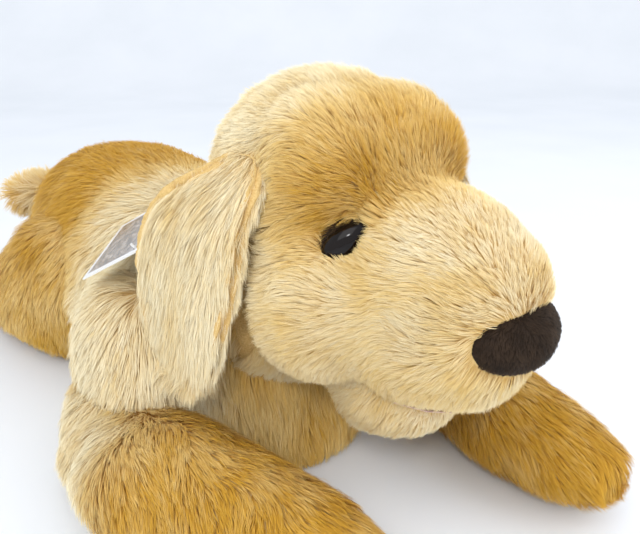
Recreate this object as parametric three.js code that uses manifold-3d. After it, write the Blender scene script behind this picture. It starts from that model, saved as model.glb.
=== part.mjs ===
// A large plush dog that lies on its belly with its head up, its forelegs forward and its hind
// legs stretched back. Millimetres, +Z up. The nose points along -Y and the dog's left is +X.
// Each part of the toy is a sewn skin of fur fabric around a core of fibre stuffing. The skins
// are drawn to the outside of the pile, so the sizes here are the ones a hand or a tape finds.

import * as THREE from 'three';
import { mergeVertices } from 'three/addons/utils/BufferGeometryUtils.js';
import Module from 'manifold-3d';

const wasm = await Module();
wasm.setup();

// ---- Driving dimensions ----------------------------------------------------------------------

const headWidth = 166;
const headTop = 293;
const torsoWidth = 234;
const backHeight = 186;
const rumpHeight = 206;
const legThickness = 86;
const eyeWidth = 24;
const eyeHeight = 20;
const skinThickness = 9; // backing cloth and pile together
const seamGap = 0.3; // between two panels that are sewn edge to edge
const jointGap = 7; // between two parts that move against each other, filled by their pile
const hipRoom = 5; // more room round the thick thighs
const panelEdge = 400; // half-size of the blocks that cut a skin into panels

// ---- Places worked out from them -------------------------------------------------------------

const halfHead = headWidth / 2;
const halfTorso = torsoWidth / 2;
const halfLeg = legThickness / 2;

const neck = { y: -95, z: 148, radius: halfHead + 1 }; // the head turns about this upright axis
const cranium = { y: -132, z: headTop - 88, length: 84, height: 88 };
const muzzle = { y: -226, z: 168, width: 55, length: 75, height: 68 };
const brow = { y: cranium.y - 32, z: cranium.z + 22, width: halfHead - 17, length: 53, height: 58 };
const cheek = { x: halfHead - 42, y: -166, z: 164, width: 43, length: 60, height: 56 };
const mouth = { y: -214, z: 108, width: 41, length: 60, height: 4 };
const chin = { y: -208, z: 100, width: 40, length: 60, height: 33 };
const nose = { y: -285, z: 169, width: 27, depth: 20, height: 20 };
const eye = { x: 46, y: -202, z: 207 };
const earRoot = { x: halfHead - 4, y: -136, z: 256 };
const shoulder = { x: halfTorso - 12, y: 18 };
const hip = { x: 78, y: 158 };
const tailRoot = { y: 262, z: 104 };

// Upright joint axes, and how far each limb swings away from the body, in degrees.
const forelegJoint = { x: shoulder.x - 4, y: shoulder.y - 20, swing: 15 };
const hindLegJoint = { x: hip.x - 6, y: hip.y - 66, swing: 10 };
const tailJoint = { y: tailRoot.y - 6, swing: 18 };

// ---- Colours ---------------------------------------------------------------------------------

const colours = {
  cream: 0xe6cf9e,
  gold: 0xd9ae68,
  paleEar: 0xead6ab,
  stuffing: 0xf4f1ea,
  noseBrown: 0x2b1c17,
  eyeBlack: 0x070707,
  washer: 0xdddddd,
  pink: 0xe9b9ad,
  card: 0xf1efe9,
  tagPin: 0xe8e8e8,
};

// ---- Shape tools -----------------------------------------------------------------------------

function toSolid(geometry) {
  geometry.deleteAttribute('normal');
  geometry.deleteAttribute('uv');
  const merged = mergeVertices(geometry);
  return new wasm.Manifold(new wasm.Mesh({
    numProp: 3,
    vertProperties: Float32Array.from(merged.attributes.position.array),
    triVerts: Uint32Array.from(merged.index.array),
  }));
}

function toGeometry(solid) {
  const { vertProperties, triVerts } = solid.getMesh();
  const geometry = new THREE.BufferGeometry();
  geometry.setAttribute('position', new THREE.BufferAttribute(vertProperties, 3));
  geometry.setIndex(new THREE.BufferAttribute(triVerts, 1));
  geometry.computeVertexNormals();
  return geometry;
}

function unitSphere(around, along) {
  const sphere = new THREE.SphereGeometry(1, around, along);
  sphere.deleteAttribute('normal');
  sphere.deleteAttribute('uv');
  return mergeVertices(sphere);
}

// An egg of the given half-sizes, made smaller all round by inset.
function egg([x, y, z], [width, length, height], inset = 0, around = 14, along = 10) {
  const geometry = unitSphere(around, along);
  geometry.rotateX(Math.PI / 2);
  geometry.scale(width - inset, length - inset, height - inset);
  geometry.translate(x, y, z);
  return toSolid(geometry);
}

// A rounded bolster through stations [x, y, z, half-width, half-depth]. The width is measured
// along the sideways direction. A higher bluntness gives squarer ends, and a pose moves it all.
function bolster(stations, sideways, options = {}) {
  const { inset = 0, around = 12, along = 10, bluntness = 2.6, pose } = options;
  const path = new THREE.CatmullRomCurve3(stations.map(([x, y, z]) => new THREE.Vector3(x, y, z)));
  const sizes = new THREE.CatmullRomCurve3(stations.map(([, , , w, d]) => new THREE.Vector3(w, d, 0)));
  const endInset = Math.max(inset, 0) / path.getLength();
  const endGrowth = Math.max(-inset, 0);
  const geometry = unitSphere(around, along);
  const position = geometry.attributes.position;
  const vertex = new THREE.Vector3();
  for (let i = 0; i < position.count; i += 1) {
    vertex.fromBufferAttribute(position, i);
    const ring = Math.hypot(vertex.x, vertex.z);
    const t = endInset + (1 - 2 * endInset) * (1 - vertex.y) / 2;
    const swell = Math.max(0, 1 - Math.abs(vertex.y) ** bluntness) ** (1 / bluntness);
    const reach = ring > 1e-6 ? swell / ring : 0;
    const size = sizes.getPoint(t);
    const tangent = path.getTangent(t);
    const side = sideways.clone().addScaledVector(tangent, -sideways.dot(tangent)).normalize();
    const up = tangent.clone().cross(side);
    const point = path.getPoint(t);
    point.addScaledVector(tangent, -vertex.y * endGrowth);
    point.addScaledVector(side, vertex.x * reach * (size.x - inset));
    point.addScaledVector(up, vertex.z * reach * (size.y - inset));
    position.setXYZ(i, point.x, point.y, point.z);
  }
  if (pose) geometry.applyMatrix4(pose);
  return toSolid(geometry);
}

// A block between two corners.
function block([x0, y0, z0], [x1, y1, z1]) {
  const box = new THREE.BoxGeometry(x1 - x0, y1 - y0, z1 - z0);
  box.translate((x0 + x1) / 2, (y0 + y1) / 2, (z0 + z1) / 2);
  return toSolid(box);
}

// Everything above a height.
function above(height) {
  return block([-panelEdge, -panelEdge, height], [panelEdge, panelEdge, panelEdge]);
}

// Everything below a height.
function below(height) {
  return block([-panelEdge, -panelEdge, -panelEdge], [panelEdge, panelEdge, height]);
}

// Everything on one side of the dog's middle plane: side is 1 for its left and -1 for its right.
function halfSpace(side, from = seamGap / 2) {
  const [near, far] = side > 0 ? [from, panelEdge] : [-panelEdge, -from];
  return block([near, -panelEdge, -panelEdge], [far, panelEdge, panelEdge]);
}

// The largest body of a solid. Cuts that graze a face leave slivers beside it.
function largest(solid) {
  return solid.decompose().sort((a, b) => b.volume() - a.volume())[0];
}

function union(solids) {
  return solids.reduce((whole, solid) => whole.add(solid));
}

const sides = [['left', 1], ['right', -1]];
const sidewaysX = new THREE.Vector3(1, 0, 0);
const sidewaysY = new THREE.Vector3(0, 1, 0);
const sidewaysZ = new THREE.Vector3(0, 0, 1);

// Cores, pockets and the inner faces of skins have fewer, larger facets than the outer faces.
const coarse = { around: 10, along: 7 };

// ---- Whole shapes of the parts ---------------------------------------------------------------
// Each takes an inset: 0 is the outside of the pile, skinThickness is the inside of the skin.

function detail(inset, pose) {
  return inset === 0 ? { inset, pose } : { inset, pose, ...coarse };
}

// Turned about the upright axis through a joint, anticlockwise from above.
function swung([x, y], degrees) {
  const turn = new THREE.Matrix4().makeRotationZ(THREE.MathUtils.degToRad(degrees));
  const toJoint = new THREE.Matrix4().makeTranslation(x, y, 0);
  const fromJoint = new THREE.Matrix4().makeTranslation(-x, -y, 0);
  return toJoint.multiply(turn).multiply(fromJoint);
}

function forelegShape(side, inset, swing = 0) {
  const stations = [
    [side * (shoulder.x + 2), shoulder.y, 66, 40, 48],
    [side * (shoulder.x + 18), shoulder.y - 50, 56, halfLeg, 49],
    [side * (shoulder.x + 26), shoulder.y - 104, 46, halfLeg, 46],
    [side * (shoulder.x + 13), shoulder.y - 180, 43, halfLeg, 43],
    [side * (shoulder.x - 5), shoulder.y - 252, 41, halfLeg + 1, 41],
    [side * (shoulder.x - 8), shoulder.y - 336, 38, halfLeg + 2, 38],
  ];
  const pose = swung([side * forelegJoint.x, forelegJoint.y], side * swing);
  const whole = bolster(stations, sidewaysX, { ...detail(inset, pose), bluntness: 3.2 });
  return whole.intersect(above(Math.max(inset, 0)));
}

function hindLegShape(side, inset, swing = 0) {
  const stations = [
    [side * (hip.x - 4), hip.y - 88, 76, 40, 66],
    [side * hip.x, hip.y - 8, 80, 56, 82],
    [side * (hip.x + 16), hip.y + 58, 56, 50, 60],
    [side * (hip.x + 28), hip.y + 122, 36, 38, 38],
    [side * (hip.x + 32), hip.y + 192, 31, 36, 33],
  ];
  const pose = swung([side * hindLegJoint.x, hindLegJoint.y], -side * swing);
  return bolster(stations, sidewaysX, detail(inset, pose)).intersect(above(Math.max(inset, 0)));
}

function tailShape(inset, swing = 0) {
  const stations = [
    [0, tailRoot.y - 18, tailRoot.z, 24, 24],
    [-14, tailRoot.y + 24, tailRoot.z + 14, 27, 27],
    [-52, tailRoot.y + 44, tailRoot.z + 30, 27, 27],
    [-92, tailRoot.y + 40, tailRoot.z + 36, 22, 22],
  ];
  const pose = swung([0, tailJoint.y], swing);
  return bolster(stations, sidewaysZ, { ...detail(inset, pose), bluntness: 2.2 });
}

function neckBall(inset) {
  const r = neck.radius;
  const [around, along] = inset === 0 ? [16, 10] : [12, 8];
  return egg([0, neck.y, neck.z], [r, r, r], inset, around, along);
}

function headShape(inset) {
  const [around, along] = inset === 0 ? [14, 10] : [10, 7];
  const lump = (place, size) => egg(place, size, inset, around, along);
  return union([
    lump([0, cranium.y, cranium.z], [halfHead - 1, cranium.length, cranium.height]),
    lump([0, brow.y, brow.z], [brow.width, brow.length, brow.height]),
    lump([cheek.x, cheek.y, cheek.z], [cheek.width, cheek.length, cheek.height]),
    lump([-cheek.x, cheek.y, cheek.z], [cheek.width, cheek.length, cheek.height]),
    lump([0, muzzle.y, muzzle.z], [muzzle.width, muzzle.length, muzzle.height]),
    lump([0, chin.y, chin.z], [chin.width, chin.length, chin.height]),
    neckBall(inset),
  ]);
}

function torsoShape(inset) {
  const stations = [
    [0, -150, 62, 68, 66],
    [0, -112, 66, 76, 76],
    [0, -60, 80, 100, 92],
    [0, 30, backHeight / 2 - 2, halfTorso, backHeight / 2 + 4],
    [0, 110, backHeight / 2 + 4, halfTorso - 4, backHeight / 2 + 8],
    [0, 190, rumpHeight / 2, halfTorso - 14, rumpHeight / 2],
    [0, 276, 94, 84, 88],
  ];
  const whole = bolster(stations, sidewaysX, { ...detail(inset), along: inset === 0 ? 14 : 9 });
  return whole.intersect(above(inset));
}

// ---- Pockets that keep one part clear of the next --------------------------------------------
// Each limb's pocket is wide enough for the whole swing of the limb.

function limbPockets(inset) {
  const grown = -(jointGap + inset);
  const pockets = [neckBall(grown)];
  for (const [, side] of sides) {
    for (const share of [0, 1]) {
      pockets.push(forelegShape(side, grown, share * forelegJoint.swing));
      pockets.push(hindLegShape(side, grown - hipRoom, share * hindLegJoint.swing));
    }
  }
  for (const share of [-1, 0, 1]) {
    pockets.push(tailShape(grown, share * tailJoint.swing));
  }
  return union(pockets);
}

function torsoSolid(inset) {
  return torsoShape(inset).subtract(limbPockets(inset));
}

// ---- Building the nodes ----------------------------------------------------------------------

const dog = new THREE.Group();

function addNode(name, solid, colour, roughness = 0.95) {
  const material = new THREE.MeshStandardMaterial({ color: colour, roughness, metalness: 0 });
  const mesh = new THREE.Mesh(toGeometry(solid), material);
  mesh.name = name;
  dog.add(mesh);
}

function addTorso() {
  const skin = torsoSolid(0).subtract(torsoSolid(skinThickness));
  const bellySeam = 22;
  for (const [name, side] of sides) {
    const panel = skin.intersect(halfSpace(side)).intersect(above(bellySeam + seamGap));
    addNode(`torso_panel_${name}`, panel, colours.gold);
  }
  addNode('belly_panel', skin.intersect(below(bellySeam)), colours.cream);
  addNode('torso_stuffing', torsoSolid(skinThickness + seamGap), colours.stuffing);
}

// The slot between the upper lips and the chin, which the mouth's lining fills.
function mouthSlot(grow) {
  return egg([0, mouth.y, mouth.z], [mouth.width, mouth.length, mouth.height], -grow, 16, 5);
}

function noseShape(inset) {
  return egg([0, nose.y, nose.z], [nose.width, nose.depth, nose.height], inset, 14, 9);
}

// An upright cylinder that starts at the origin and runs down.
function post(radius, length, around = 8) {
  const cylinder = new THREE.CylinderGeometry(radius, radius, length, around);
  cylinder.rotateX(Math.PI / 2);
  cylinder.translate(0, 0, -length / 2);
  return cylinder;
}

// The eye's own frame: origin on the outside of the pile, +Z the way the dog looks out of it.
function eyeFrame(side) {
  const outward = new THREE.Vector3(side * 0.62, -0.76, 0.2).normalize();
  const turn = new THREE.Quaternion().setFromUnitVectors(new THREE.Vector3(0, 0, 1), outward);
  const matrix = new THREE.Matrix4().makeRotationFromQuaternion(turn);
  return matrix.setPosition(side * eye.x, eye.y, eye.z);
}

const eyeDomeDepth = 7;
const eyeStem = { radius: 2.6, length: 24 };
const eyeSeat = -2; // how deep the dome's widest ring sits below the outside of the pile

function eyeDome(grow) {
  const geometry = unitSphere(14, 8);
  geometry.rotateX(Math.PI / 2);
  geometry.scale(eyeWidth / 2 + grow, eyeHeight / 2 + grow, eyeDomeDepth + grow);
  geometry.translate(0, 0, eyeSeat);
  return geometry;
}

function eyeSolid(side, grow) {
  const frame = eyeFrame(side);
  const stem = post(eyeStem.radius + grow, eyeStem.length + grow).translate(0, 0, eyeSeat);
  return toSolid(eyeDome(grow).applyMatrix4(frame)).add(toSolid(stem.applyMatrix4(frame)));
}

const washer = { radius: 9, thickness: 2.4, depth: -20 };
const washerRoom = { aside: 9, halfDepth: 24, above: 5 }; // round it, in the stuffing

function washerDisc(side, radius, thickness, depth) {
  const disc = post(radius, thickness, 12).translate(0, 0, depth);
  return toSolid(disc.applyMatrix4(eyeFrame(side)));
}

// The room in the stuffing for an eye's stem and washer.
function eyePocket(side) {
  const geometry = unitSphere(8, 5);
  geometry.rotateX(Math.PI / 2);
  const radius = washer.radius + washerRoom.aside;
  geometry.scale(radius, radius, washerRoom.halfDepth);
  geometry.translate(0, 0, washer.depth + washerRoom.above);
  return toSolid(geometry.applyMatrix4(eyeFrame(side)));
}

function headPockets(inset) {
  const grow = seamGap + inset;
  const eyes = sides.map(([, side]) => (inset > 0 ? eyePocket(side) : eyeSolid(side, seamGap)));
  return union([noseShape(-grow), mouthSlot(grow), ...eyes]);
}

function addHead() {
  const whole = headShape(0);
  const core = headShape(skinThickness);
  const skin = largest(whole.subtract(core).subtract(headPockets(0)));
  const crownHalfWidth = 27;
  const crownLow = cranium.z - 20;
  const stopY = eye.y - 6;
  const jaw = { top: mouth.z - mouth.height, back: -140 };

  const crownBlock = block(
    [-crownHalfWidth, -panelEdge, crownLow],
    [crownHalfWidth, panelEdge, panelEdge],
  );
  const crownCut = block(
    [-crownHalfWidth - seamGap, -panelEdge, crownLow - seamGap],
    [crownHalfWidth + seamGap, panelEdge, panelEdge],
  );
  const jawBlock = block([-panelEdge, -panelEdge, -panelEdge], [panelEdge, jaw.back, jaw.top]);
  const jawCut = block(
    [-panelEdge, -panelEdge, -panelEdge],
    [panelEdge, jaw.back + seamGap, jaw.top + seamGap],
  );
  const front = block([-panelEdge, -panelEdge, -panelEdge], [panelEdge, stopY, panelEdge]);
  const back = block([-panelEdge, stopY + seamGap, -panelEdge], [panelEdge, panelEdge, panelEdge]);

  const crown = skin.intersect(crownBlock);
  addNode('crown_gusset', crown.intersect(back), colours.gold);
  addNode('muzzle_bridge', crown.intersect(front), colours.cream);
  addNode('chin_panel', skin.intersect(jawBlock), colours.cream);
  for (const [name, side] of sides) {
    const panel = skin.subtract(crownCut).subtract(jawCut).intersect(halfSpace(side));
    addNode(`head_panel_${name}`, largest(panel), colours.cream);
  }
  const stuffing = headShape(skinThickness + seamGap).subtract(headPockets(skinThickness / 2));
  addNode('head_stuffing', largest(stuffing.subtract(jawCut)), colours.stuffing);
  addNode('chin_stuffing', largest(stuffing.intersect(jawBlock)), colours.stuffing);
  addNode('mouth_lining', mouthSlot(0), colours.pink);
}

function addNose() {
  const coverThickness = 2.5;
  const cover = noseShape(0).subtract(noseShape(coverThickness));
  const openBack = block([-panelEdge, -panelEdge, -panelEdge], [panelEdge, nose.y + 4, panelEdge]);
  addNode('nose_cover', cover.intersect(openBack), colours.noseBrown, 0.9);
  addNode('nose_padding', noseShape(coverThickness + seamGap), colours.stuffing);
}

function addEyes() {
  const holeLength = 18; // right through the washer
  for (const [name, side] of sides) {
    addNode(`eye_${name}`, eyeSolid(side, 0), colours.eyeBlack, 0.08);
    const hole = washerDisc(side, eyeStem.radius + seamGap, holeLength, washer.depth + holeLength / 3);
    const ring = washerDisc(side, washer.radius, washer.thickness, washer.depth).subtract(hole);
    addNode(`eye_washer_${name}`, ring, colours.washer, 0.5);
  }
}

// An ear is two pieces of fur fabric sewn round the edge, with no stuffing between them.
function earLayer(side, offset, halfThickness) {
  const x = side * offset;
  const stations = [
    [x + side * earRoot.x, earRoot.y + 4, earRoot.z, 30, halfThickness],
    [x + side * (earRoot.x + 14), earRoot.y + 2, earRoot.z - 34, 46, halfThickness],
    [x + side * (earRoot.x + 24), earRoot.y + 4, earRoot.z - 80, 51, halfThickness],
    [x + side * (earRoot.x + 27), earRoot.y + 6, earRoot.z - 124, 46, halfThickness],
    [x + side * (earRoot.x + 28), earRoot.y + 6, earRoot.z - 146, 36, halfThickness],
  ];
  return bolster(stations, sidewaysY, { around: 14, along: 10, bluntness: 3 });
}

function addEars() {
  const layer = { half: 5.5, offset: 5.9 };
  for (const [name, side] of sides) {
    addNode(`ear_outer_${name}`, earLayer(side, layer.offset, layer.half), colours.paleEar);
    addNode(`ear_lining_${name}`, earLayer(side, -layer.offset, layer.half), colours.cream);
  }
}

// A limb's skin is open where it was sewn to the body.
function addLimb(name, shape, hole, colour) {
  const skin = shape(0).subtract(shape(skinThickness)).subtract(hole);
  addNode(`${name}_skin`, skin, colour);
  addNode(`${name}_stuffing`, shape(skinThickness + seamGap), colours.stuffing);
}

// The opening in a limb's skin, a ball of three half-sizes.
function opening(place, halfSizes) {
  return egg(place, halfSizes, 0, 8, 6);
}

function addLimbs() {
  for (const [name, side] of sides) {
    const shoulderHole = opening([side * (shoulder.x - 22), shoulder.y - 26, 66], [22, 18, 18]);
    addLimb(`foreleg_${name}`, (inset) => forelegShape(side, inset), shoulderHole, colours.gold);
    const hipHole = opening([side * (hip.x - 50), hip.y - 10, 80], [22, 20, 20]);
    addLimb(`hind_leg_${name}`, (inset) => hindLegShape(side, inset), hipHole, colours.gold);
  }
  const tailHole = opening([0, tailRoot.y - 18, tailRoot.z], [16, 16, 16]);
  addLimb('tail', tailShape, tailHole, colours.gold);
}

// A plain card on a short plastic pin that goes through the rear seam of the right ear. The card
// lies on the slope of the shoulder, with its printed face up.
const card = { width: 66, height: 58, thickness: 1.2, pinInset: 5, corner: [-130, -22, 150] };
const pin = { radius: 0.9, length: 9, headRadius: 3.2, headThickness: 1, headSeat: 3, holeRadius: 2 };

function tagFrame() {
  const alongWidth = new THREE.Vector3(0.27, -0.83, 0.48).normalize();
  const alongHeight = new THREE.Vector3(0.78, 0.48, 0.41).normalize();
  const outward = alongHeight.clone().cross(alongWidth).normalize();
  const squareHeight = alongWidth.clone().cross(outward);
  const matrix = new THREE.Matrix4().makeBasis(alongWidth, outward, squareHeight);
  return matrix.setPosition(...card.corner);
}

function addTag() {
  const frame = tagFrame();
  const sheet = new THREE.BoxGeometry(card.width, card.thickness, card.height);
  sheet.translate(card.width / 2, 0, card.height / 2);
  const upright = (radius, length, around, seat = 0) => {
    const cylinder = new THREE.CylinderGeometry(radius, radius, length, around);
    return cylinder.translate(card.width - card.pinInset, seat, card.pinInset);
  };
  const hole = upright(pin.holeRadius, 2 * pin.length, 10);
  const plate = toSolid(sheet.applyMatrix4(frame)).subtract(toSolid(hole.applyMatrix4(frame)));
  addNode('hang_tag', plate, colours.card, 0.25);
  const shaft = upright(pin.radius, pin.length, 8);
  const head = upright(pin.headRadius, pin.headThickness, 10, pin.headSeat);
  const whole = toSolid(shaft.applyMatrix4(frame)).add(toSolid(head.applyMatrix4(frame)));
  addNode('tag_pin', whole, colours.tagPin, 0.4);
}

// The origin is under the middle of the whole dog, on the surface that it lies on.
function centre() {
  const box = new THREE.Box3().setFromObject(dog);
  const middle = box.getCenter(new THREE.Vector3());
  dog.position.set(-middle.x, -middle.y, -box.min.z);
}

addTorso();
addHead();
addNose();
addEyes();
addEars();
addLimbs();
addTag();
centre();

export default dog;
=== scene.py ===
# A large plush dog in long pile. Each soft part is a smooth pelt, and its pile is grown on it as
# tapered strands that lean, droop and gather into locks the way the fabric was combed.

import math

import bmesh
import bpy
import numpy as np
from mathutils import Matrix, Vector
from mathutils.bvhtree import BVHTree
from mathutils.kdtree import KDTree


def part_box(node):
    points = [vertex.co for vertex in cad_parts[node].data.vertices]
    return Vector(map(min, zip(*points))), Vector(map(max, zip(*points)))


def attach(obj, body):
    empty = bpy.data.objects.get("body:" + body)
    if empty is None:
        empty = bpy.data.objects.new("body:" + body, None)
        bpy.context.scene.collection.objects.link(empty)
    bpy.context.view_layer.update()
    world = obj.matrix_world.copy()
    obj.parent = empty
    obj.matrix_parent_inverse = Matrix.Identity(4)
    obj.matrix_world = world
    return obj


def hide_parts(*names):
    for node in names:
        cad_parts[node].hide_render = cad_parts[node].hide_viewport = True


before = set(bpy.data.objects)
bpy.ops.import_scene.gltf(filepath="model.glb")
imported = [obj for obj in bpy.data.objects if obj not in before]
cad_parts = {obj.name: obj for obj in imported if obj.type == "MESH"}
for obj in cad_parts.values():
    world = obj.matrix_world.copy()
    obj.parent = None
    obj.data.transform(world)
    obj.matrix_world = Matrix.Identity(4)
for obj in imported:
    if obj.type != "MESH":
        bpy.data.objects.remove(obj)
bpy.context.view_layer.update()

rng = np.random.default_rng(7)

MM = 0.001
SIDE = {"left": 1, "right": -1}  # the way out from the middle along x

# ---- Places read from the frame ---------------------------------------------------------------


def box(node):
    low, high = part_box(node)
    return np.array(low), np.array(high)


def middle(node):
    low, high = box(node)
    return (low + high) / 2


nose_low, nose_high = box("nose_cover")
nose_middle = (nose_low + nose_high) / 2
muzzle_top = box("muzzle_bridge")[1][2]
lip_height = box("mouth_lining")[1][2]
ear_low, ear_high = box("ear_outer_left")
eye_places = {-1: middle("eye_right"), 1: middle("eye_left")}
eye_y = eye_places[1][1]
floor_gap = 0.4 * MM


# ---- Small maths ------------------------------------------------------------------------------


def unit(v):
    return v / np.maximum(np.linalg.norm(v, axis=-1, keepdims=True), 1e-9)


def ramp(x, start, end):
    """A smooth step from 0 at the start to 1 at the end."""
    t = np.clip((x - start) / (end - start), 0, 1)
    return t * t * (3 - 2 * t)


def near(points, place, radius):
    """1 at a place, falling off to about a third at the radius."""
    return np.exp(-((np.linalg.norm(points - np.asarray(place), axis=1) / radius) ** 2))


def mix(a, b, share):
    """a where the share is 0, b where it is 1. Either may be a direction for each point."""
    share = np.asarray(share)
    if np.ndim(a) == 2 or np.ndim(b) == 2:
        share = share[:, None]
    return a * (1 - share) + b * share


def same_value(points, value):
    """The same value for every point."""
    return np.full(len(points), value)


def same_way(points, direction):
    """The same direction for every point."""
    return np.tile(np.array(direction, float), (len(points), 1))


def along_surface(v, normals):
    return unit(v - normals * np.sum(v * normals, axis=1, keepdims=True))


def wave_noise(points, size, seed, octaves=2):
    """Smooth noise of about -1 to 1 with features of a given size, the same in every run."""
    source = np.random.default_rng(seed)
    total = np.zeros(len(points))
    weight = 1.0
    for _ in range(octaves):
        for _ in range(5):
            direction = unit(source.normal(size=3))
            phase = source.uniform(0, 2 * math.pi)
            total += weight * np.sin(points @ direction * (2 * math.pi / size) + phase)
        size *= 0.5
        weight *= 0.6
    return total / 3.2


# ---- Pelts: smooth closed surfaces under the pile ---------------------------------------------


def bolster(made, rings, around=32):
    """Adds a rounded closed form through rings of (y, half width, bottom, top) to a bmesh."""
    loops = []
    power = 0.86  # a little squarer than an ellipse
    for y, half, bottom, top in rings:
        loop = []
        for k in range(around):
            angle = 2 * math.pi * k / around
            c, d = math.cos(angle), math.sin(angle)
            x = math.copysign(abs(c) ** power, c) * half
            z = math.copysign(abs(d) ** power, d) * (top - bottom) / 2 + (top + bottom) / 2
            loop.append(made.verts.new((x, y, max(z, 0.0))))
        loops.append(loop)
    for first, second in zip(loops, loops[1:]):
        for k in range(around):
            made.faces.new((first[k], first[k - 1], second[k - 1], second[k]))
    made.faces.new(loops[0])
    made.faces.new(loops[-1][::-1])


def joined(nodes, name, balls=(), rings=()):
    """Copies of CAD nodes as one mesh, filled out by balls (centre, half sizes) and rings."""
    mesh = bpy.data.meshes.new(name)
    made = bmesh.new()
    for node in nodes:
        made.from_mesh(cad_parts[node].data)
    if rings:
        bolster(made, rings)
    for centre, half in balls:
        place = Matrix.Translation(centre) @ Matrix.Diagonal((*half, 1))
        bmesh.ops.create_icosphere(made, subdivisions=4, radius=1.0, matrix=place)
    made.to_mesh(mesh)
    made.free()
    obj = bpy.data.objects.new(name, mesh)
    bpy.context.scene.collection.objects.link(obj)
    return obj


def remesh(obj, voxel):
    modifier = obj.modifiers.new("remesh", "REMESH")
    modifier.mode = "VOXEL"
    modifier.voxel_size = voxel
    graph = bpy.context.evaluated_depsgraph_get()
    made = bpy.data.meshes.new_from_object(obj.evaluated_get(graph))
    old = obj.data
    obj.modifiers.clear()
    obj.data = made
    bpy.data.meshes.remove(old)


def keep_largest(obj):
    """Drops every separate part of a mesh but the one with the most corners."""
    made = bmesh.new()
    made.from_mesh(obj.data)
    seen = set()
    islands = []
    for start in made.verts:
        if start in seen:
            continue
        stack = [start]
        seen.add(start)
        island = []
        while stack:
            vert = stack.pop()
            island.append(vert)
            for edge in vert.link_edges:
                other = edge.other_vert(vert)
                if other not in seen:
                    seen.add(other)
                    stack.append(other)
        islands.append(island)
    islands.sort(key=len)
    for island in islands[:-1]:
        bmesh.ops.delete(made, geom=island, context="VERTS")
    made.to_mesh(obj.data)
    made.free()


def positions(mesh):
    out = np.empty(len(mesh.vertices) * 3, np.float32)
    mesh.vertices.foreach_get("co", out)
    return out.reshape(-1, 3).astype(float)


def set_positions(mesh, points):
    mesh.vertices.foreach_set("co", points.astype(np.float32).ravel())
    mesh.update()


def edges_of(mesh):
    out = np.empty(len(mesh.edges) * 2, np.int32)
    mesh.edges.foreach_get("vertices", out)
    return out.reshape(-1, 2)


def vertex_normals(mesh):
    out = np.empty(len(mesh.vertices) * 3, np.float32)
    mesh.vertex_normals.foreach_get("vector", out)
    return out.reshape(-1, 3).astype(float)


def neighbour_mean(values, edges):
    count = np.maximum(np.bincount(edges.ravel(), minlength=len(values)), 1)
    total = np.empty_like(values)
    for k in range(values.shape[1]):
        total[:, k] = np.bincount(edges[:, 0], values[edges[:, 1], k], len(values))
        total[:, k] += np.bincount(edges[:, 1], values[edges[:, 0], k], len(values))
    return total / count[:, None]


def smoothed(values, edges, rounds, share=0.5):
    for _ in range(rounds):
        values = values + share * (neighbour_mean(values, edges) - values)
    return values


def evened(points, edges, rounds, back):
    """Smoothed without shrinking: each pass is followed by one that grows the form back."""
    for _ in range(rounds):
        points = smoothed(points, edges, 1, 0.6)
        points = smoothed(points, edges, 1, -back)
    return points


def pelt(nodes, name, voxel, rounds, depth, balls=(), rings=(), form=None):
    """The smooth surface that the pile of these nodes grows from, a depth below its outside."""
    obj = joined(nodes, name, balls, rings)
    remesh(obj, voxel)
    keep_largest(obj)
    points = positions(obj.data)
    edges = edges_of(obj.data)
    if form:
        points = form(points)
    points = evened(points, edges, rounds, 0.57)
    set_positions(obj.data, points)
    normals = unit(smoothed(vertex_normals(obj.data), edges, 4))
    points = points - normals * depth(points)[:, None]
    points = smoothed(points, edges, 2, 0.5)
    points[:, 2] = np.maximum(points[:, 2], 2 * floor_gap)
    set_positions(obj.data, points)
    obj.data.polygons.foreach_set("use_smooth", [True] * len(obj.data.polygons))
    return obj


# ---- Strands ----------------------------------------------------------------------------------

STEPS = 3  # straight lengths in a strand


class Roots:
    """Where strands start: points, outward normals, and how they lean, bend and look."""

    def __init__(self, points, normals):
        self.points = points
        self.normals = normals

    def part(self, chosen):
        made = Roots(self.points[chosen], self.normals[chosen])
        for name in ("flow", "lift", "length", "tone"):
            setattr(made, name, getattr(self, name)[chosen])
        return made


def triangles_of(obj):
    mesh = obj.data
    mesh.calc_loop_triangles()
    out = np.empty(len(mesh.loop_triangles) * 3, np.int32)
    mesh.loop_triangles.foreach_get("vertices", out)
    return out.reshape(-1, 3)


def scatter(obj, per_mm2, keep):
    """Roots spread over a pelt, keep(points, normals) of them from 0 to 1."""
    tris = triangles_of(obj)
    points = positions(obj.data)
    normals = vertex_normals(obj.data)
    share = keep(points, normals)
    a, b, c = (points[tris[:, k]] for k in range(3))
    area = np.linalg.norm(np.cross(b - a, c - a), axis=1) / 2
    weight = area * share[tris].mean(axis=1)
    count = int(weight.sum() * per_mm2 * 1e6)
    picked = rng.choice(len(tris), count, p=weight / weight.sum())
    u, v = rng.random((2, count))
    flip = u + v > 1
    u[flip], v[flip] = 1 - u[flip], 1 - v[flip]
    shares = np.stack([1 - u - v, u, v], axis=1)[:, :, None]
    corners = tris[picked]
    places = (points[corners] * shares).sum(axis=1)
    return Roots(places, unit((normals[corners] * shares).sum(axis=1)))


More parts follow.
